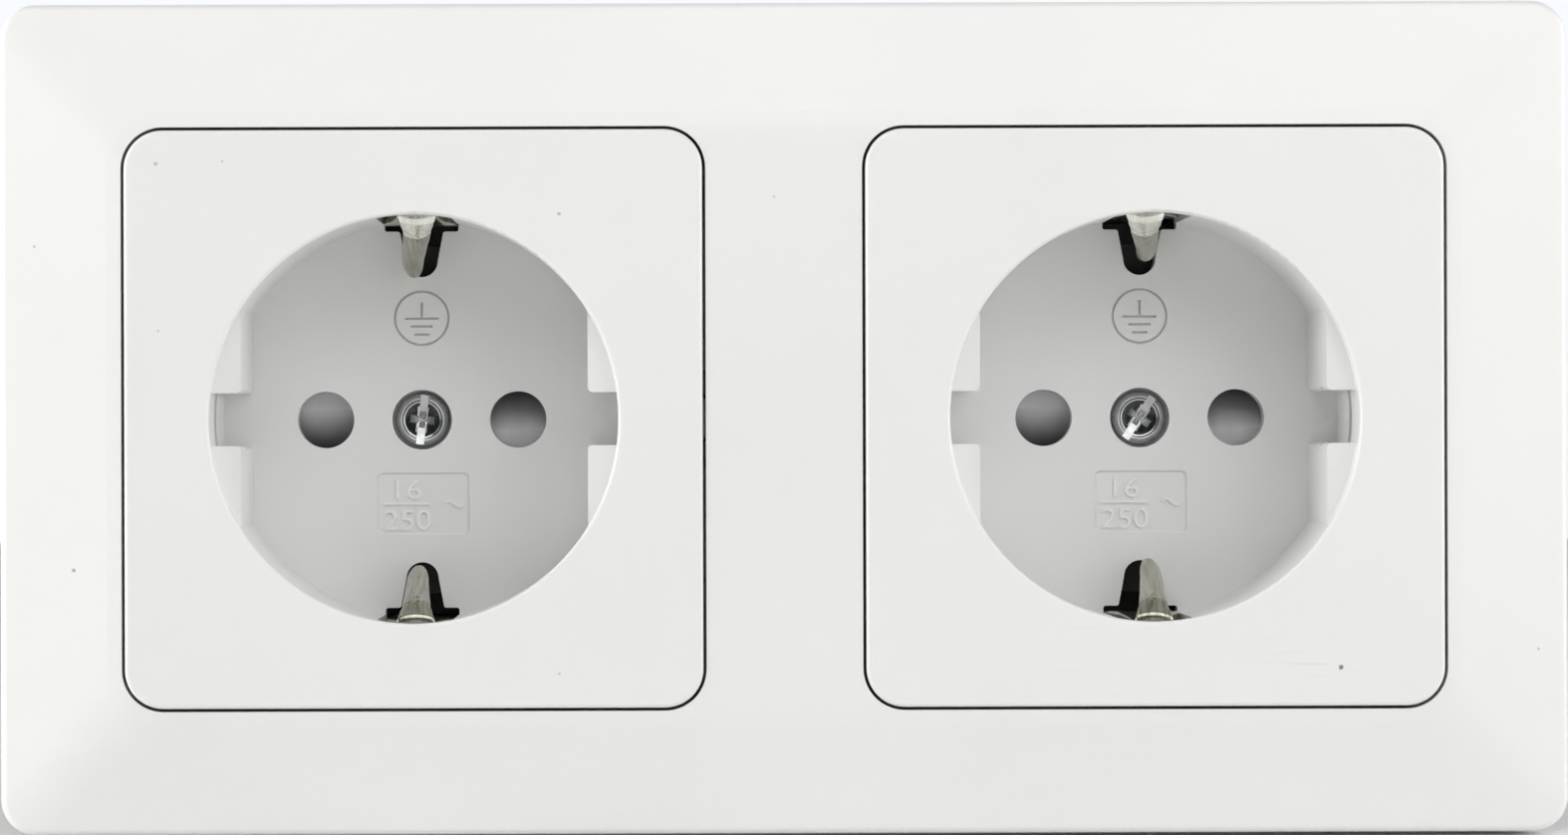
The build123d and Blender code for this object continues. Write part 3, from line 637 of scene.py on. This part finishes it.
def roundedPath(corners, step):  # points along straight runs joined by tangent arcs
    path = [Vector(corners[0][0])]
    for i in range(1, len(corners) - 1):
        here, radius = Vector(corners[i][0]), corners[i][1]
        back = (Vector(corners[i - 1][0]) - here).normalized()
        ahead = (Vector(corners[i + 1][0]) - here).normalized()
        half = back.angle(ahead) / 2
        start, end = here + back * radius / math.tan(half), here + ahead * radius / math.tan(half)
        hub = here + (back + ahead).normalized() * radius / math.sin(half)
        path.append(start)
        turns = max(2, math.ceil(radius * (math.pi - 2 * half) / step))
        for k in range(1, turns):
            spoke = (start - hub).slerp(end - hub, k / turns)
            path.append(hub + spoke.normalized() * radius)
        path.append(end)
    path.append(Vector(corners[-1][0]))
    fine = [path[0]]
    for first, second in zip(path, path[1:]):
        parts = max(1, math.ceil((second - first).length / step))
        if (second - first).length > weld:
            fine += [first.lerp(second, k / parts) for k in range(1, parts + 1)]
    return fine


def between(rows, spot):  # smooth value from rows of distance and values
    for first, second in zip(rows, rows[1:]):
        if spot <= second[0]:
            part = max(0.0, (spot - first[0]) / (second[0] - first[0]))
            part = part * part * (3 - 2 * part)
            return [a + (b - a) * part for a, b in zip(first[1:], second[1:])]
    return list(rows[-1][1:])


def sectionLoop(look, half, gutter, away):  # closed loop of width and rise, edges rounded over
    thick, edge, steps = look["thickness"] / 2, look["edge"], look["faceSteps"]
    flat = half - edge
    loop = []
    for face in (1, -1):
        loop += [(face * flat * (2 * k / steps - 1), face * thick, face) for k in range(steps + 1)]
        for side, turns in ((1, (30, 60)), (-1, (60, 30))):
            for angle in map(math.radians, turns):
                rise = side * (thick - edge + edge * math.cos(angle))
                loop.append((face * (flat + edge * math.sin(angle)), face * rise, 0))
    shaped = []
    pipAt, pipSize, pipRise = look["pip"]
    creaseAt, creaseSize, creaseDepth = look["crease"]
    waveSize, wavePace = look["wave"]
    wrinkleRise, wrinklePace, wrinkleStart = look["wrinkle"]
    for x, rise, face in loop:
        rise -= gutter * (x / half) ** 2
        if face == 1:
            gap = math.hypot(x, away - pipAt) / pipSize
            rise += pipRise * math.exp(-gap * gap)
            line = (away - creaseAt + waveSize * math.sin(x * wavePace)) / creaseSize
            rough = noise.noise(Vector((x * wrinklePace, away * wrinklePace, wrinkleStart)))
            rise += (wrinkleRise * rough - creaseDepth) * math.exp(-line * line)
        shaped.append((x, rise))
    return shaped


def bracketHalf(look, reach, up, bowed, lean):  # rows of section points, web's middle to a tongue's end
    tip = reach + look["thickness"] / 2
    corners = [
        ((look["webLevel"], 0.0), 0), ((look["webLevel"], look["legOut"]), look["bend"]),
        ((look["crest"], look["legOut"]), look["fold"]), ((look["crest"], look["turned"]), look["fold"]),
        ((look["kneeLevel"], look["kneeOut"]), look["fold"]), ((look["tipLevel"], tip), look["knee"]),
        ((look["endLevel"], tip + look["endOut"]), 0),
    ]
    path = roundedPath(corners, look["step"])
    crest = min(range(len(path)), key=lambda i: path[i].x)
    sideways = ((look["leanFrom"], 0.0), (0.0, lean[0]), (look["leanTo"], lean[1]))
    travel = [0.0]
    for first, second in zip(path, path[1:]):
        travel.append(travel[-1] + (second - first).length)
    rows = []
    for i, point in enumerate(path):
        ahead = path[min(i + 1, len(path) - 1)] - path[max(i - 1, 0)]
        out = Vector((ahead.y, -ahead.x)).normalized()  # away from the inside of the fold
        away = travel[i] - travel[crest]
        half, gutter = between(look["form"], away)
        if away < 0 and look["bow"][0][0] < point.x < look["bow"][-1][0]:
            point = point - Vector((0, bowed * between(look["bow"], point.x)[0]))
        shift = between(sideways, away)[0]
        rows.append([(x + shift, point + out * rise) for x, rise in sectionLoop(look, half, gutter, away)])
    return [[Vector((x, p.x, up * p.y)) for x, p in row] for row in rows]


def makeBracket(side):
    look = earthStrip
    node = "earth_bracket_" + side
    upper, lower = zip(look["reach"][side], (1, -1), look["bowed"][side], look["lean"][side])
    rows = list(reversed(bracketHalf(look, *lower)))[:-1] + bracketHalf(look, *upper)
    centre = Vector((gangs[side], 0, 0))
    mesh = loftMesh([[point + centre for point in row] for row in rows], node + "_formed")
    drop, radius = look["screwHole"]
    drill = turnedMesh([(radius, look["webLevel"] + end * look["drillReach"]) for end in (-1, 1)])
    drill.transform(Matrix.Translation(Vector((gangs[side], 0, drop)) * mm))
    mesh = combine(mesh, drill, "DIFFERENCE")
    # painted highlight: faces of the upper folds near the front take a nearly white copy of the plating
    for face in mesh.polygons:
        wearAndHighlight = face.center.y < look["paintedLightEdge"] * mm and face.center.z > 0  # the upper folds only
        face.material_index = 1 if wearAndHighlight else 0
    addPiece(node + "_formed", mesh, "housing", "nickel_brass", node, more=[paintedHighlightFinish])
    print(node, "formed,", len(mesh.polygons), "faces")


for side in gangs:
    makeBracket(side)

# Stage: a pale painted board, matt with faint clouding, under a world that is dim behind the camera
# and bright behind the part
stageLook = {
    "floorZ": -40.4, "floorSize": 3.0, "floor": "#f3f3f1", "floorShade": "#efefed", "cloudMm": 60.0,
    "roughness": 0.7,
    "world": "#f8fbff", "worldFront": 0.13, "worldBack": 1.0, "worldSpan": (0.3, 0.8),
}

floorMesh = bpy.data.meshes.new("pale_floor")
half = stageLook["floorSize"] / 2
level = stageLook["floorZ"] * mm
floorCorners = [(x * half, y * half, level) for x, y in ((-1, -1), (1, -1), (1, 1), (-1, 1))]
floorMesh.from_pydata(floorCorners, [], [(0, 1, 2, 3)])
floor = bpy.data.objects.new("pale_floor", floorMesh)
scene.collection.objects.link(floor)
floorMaterial, floorTree, floorShader, floorPlace = startMaterial("pale_painted_board")
floorTones = {mixFirst: toLinear(stageLook["floor"]), mixSecond: toLinear(stageLook["floorShade"])}
floorClouds = {0: mottle(floorTree, floorPlace, stageLook["cloudMm"], 0.0, 1.0)}
floorColour = addNode(floorTree, "ShaderNodeMix", floorTones, floorClouds, data_type="RGBA").outputs[mixed]
floorTree.links.new(floorColour, floorShader.inputs["Base Color"])
floorShader.inputs["Roughness"].default_value = stageLook["roughness"]
floorMesh.materials.append(floorMaterial)

world = bpy.data.worlds.new("studio")
scene.world = world
world.use_nodes = True
worldTree = world.node_tree
worldShade = worldTree.nodes["Background"]
worldShade.inputs["Color"].default_value = toLinear(stageLook["world"])
toward = addNode(worldTree, "ShaderNodeTexCoord").outputs["Generated"]
depthwise = addNode(worldTree, "ShaderNodeSeparateXYZ", links={"Vector": toward}).outputs["Y"]
glow = {
    "From Min": stageLook["worldSpan"][0], "From Max": stageLook["worldSpan"][1],
    "To Min": stageLook["worldFront"], "To Max": stageLook["worldBack"],
}
links = {"Value": depthwise}
worldLevel = addNode(worldTree, "ShaderNodeMapRange", glow, links, interpolation_type="SMOOTHSTEP")
worldTree.links.new(worldLevel.outputs["Result"], worldShade.inputs["Strength"])

# Softboxes aimed at the part's middle: place, width and height in metres, watts and tint
softboxes = {
    "key_top": ((0.0, -0.48, 0.46), 0.6, 0.5, 1.6, "#fefefc"),
    "key_right": ((0.42, -0.42, 0.16), 0.5, 0.5, 1.0, "#fefefc"),
    "left_box": ((-0.75, -0.15, 0.05), 0.5, 0.5, 7.1, "#fffef9"),
    "right_box": ((0.75, -0.15, 0.05), 0.5, 0.5, 3.4, "#fffef9"),
    "top_box": ((0.0, 0.05, 0.75), 0.7, 0.5, 0.2, "#fffef9"),
}
for name, (spot, width, height, watts, tint) in softboxes.items():
    lamp = bpy.data.lights.new(name, "AREA")
    lamp.shape, lamp.size, lamp.size_y, lamp.energy = "RECTANGLE", width, height, watts
    lamp.color = toLinear(tint)[:3]
    box = bpy.data.objects.new(name, lamp)
    box.location = spot
    box.rotation_euler = (Vector((0, 0, 0)) - Vector(spot)).to_track_quat("-Z", "Y").to_euler()
    scene.collection.objects.link(box)

# Square-on view from a little left of the middle, the frame held by the lens shift; place and nearest
# depth in mm, roll in degrees
view = {
    "spot": (-10.0, -522.7, -2.0), "roll": 0.175, "sensor": 36.0, "lens": 123.1, "shift": (0.0664, 0.0138),
    "nearest": 10.0,
}
cameraData = bpy.data.cameras.new("front_view")
cameraData.sensor_width = view["sensor"]
cameraData.lens = view["lens"]
cameraData.shift_x, cameraData.shift_y = view["shift"]
cameraData.clip_start = view["nearest"] * mm
camera = bpy.data.objects.new("front_view", cameraData)
camera.location = Vector(view["spot"]) * mm
camera.rotation_euler = (math.radians(90), math.radians(view["roll"]), 0)
scene.collection.objects.link(camera)
scene.camera = camera
scene.view_settings.view_transform = "Standard"
print("stage ready")
